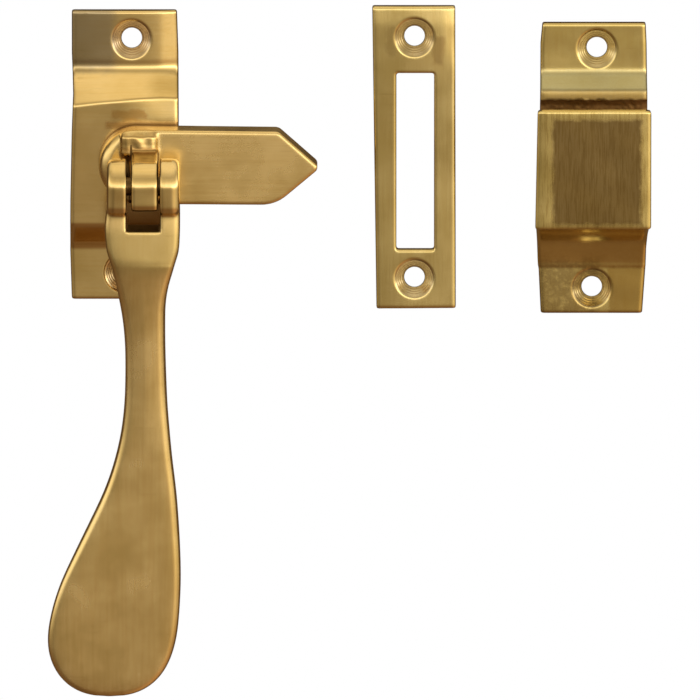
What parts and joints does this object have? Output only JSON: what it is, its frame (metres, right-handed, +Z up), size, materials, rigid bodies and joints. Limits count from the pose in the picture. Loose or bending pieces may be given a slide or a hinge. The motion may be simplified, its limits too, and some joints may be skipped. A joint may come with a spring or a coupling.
{
  "type": "casement window fastener",
  "caption": "Casement window fastener: cast back plate, turning tongue with a pointed nose, hinged spoon-shaped handle, slotted mortice plate and open-sided hook plate.",
  "frame": {"origin": "on the sash plane (the back faces of the castings), on the axis that the tongue turns about", "axes": "+Y into the sash, so the room is at -Y; +Z up, along the long side of the back plate; +X to the right seen from the room, where the tongue points"},
  "size_m": [0.1267, 0.0286, 0.1432],
  "materials": {
    "back_plate_brass": "polished cast brass",
    "tongue_brass": "brushed brass",
    "spindle_brass": "turned brass",
    "washer_brass": "pressed brass",
    "spring_bronze": "spring bronze strip",
    "handle_brass": "polished cast brass",
    "pin_brass": "drawn brass",
    "mortice_plate_brass": "polished brass",
    "hook_plate_brass": "polished cast brass with a brushed face"
  },
  "bodies": {
    "plates": {"back_plate": "back_plate_brass", "spring_washer": "spring_bronze", "mortice_plate": "mortice_plate_brass", "hook_plate": "hook_plate_brass"},
    "tongue_body": {"tongue": "tongue_brass", "pivot_spindle": "spindle_brass", "retaining_washer": "washer_brass"},
    "handle_body": {"handle": "handle_brass", "knuckle_pin": "pin_brass"}
  },
  "joints": [
    {"name": "tongue_turn", "type": "hinge", "parent": "plates", "child": "tongue_body", "pos_m": [0, 0, 0], "axis": [0, -1, 0], "continuous": true},
    {"name": "handle_fold", "type": "hinge", "parent": "tongue_body", "child": "handle_body", "pos_m": [0.00153, -0.0227, -0.003], "axis": [-1, 0, 0], "range_deg": [0, 180]}
  ]
}
